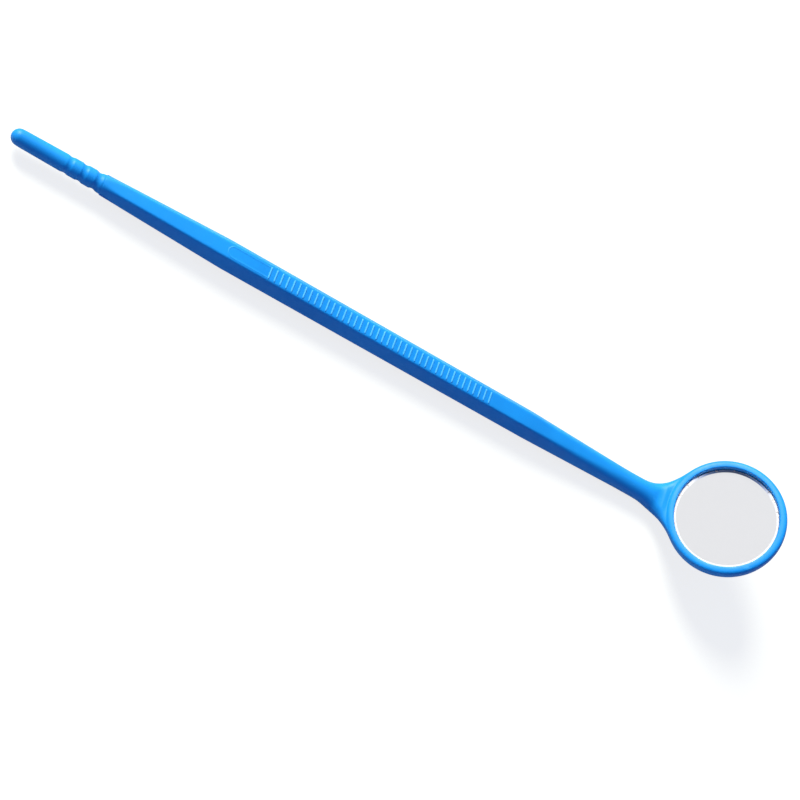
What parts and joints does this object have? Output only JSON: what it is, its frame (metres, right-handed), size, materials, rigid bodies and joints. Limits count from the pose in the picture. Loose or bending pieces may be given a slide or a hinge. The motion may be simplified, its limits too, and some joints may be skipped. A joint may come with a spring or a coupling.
{
  "type": "mouth mirror",
  "caption": "Slim one-piece plastic mouth mirror: ribbed hexagonal grip, round grooved tail, and a tilted round cup that holds a bevelled glass mirror.",
  "frame": {"origin": "under the middle of the whole length, on the flat back of the grip", "axes": "+X along the handle from the tail to the head, +Y across the handle, +Z out of the front face, the side that the mirror and the ribs are on"},
  "size_m": [0.1668, 0.0238, 0.0193],
  "materials": {
    "handle_plastic": "azure blue injection-moulded polystyrene, satin gloss",
    "mirror_glass": "clear polished float glass with a ground bevel",
    "silver": "deposited silver, seen through the glass",
    "lacquer": "grey mirror-back paint",
    "adhesive": "white bonding pad"
  },
  "bodies": {
    "root": {"handle": "handle_plastic", "mirror_glass": "mirror_glass", "silver_coating": "silver", "backing_lacquer": "lacquer", "adhesive_disc": "adhesive"}
  },
  "joints": []
}
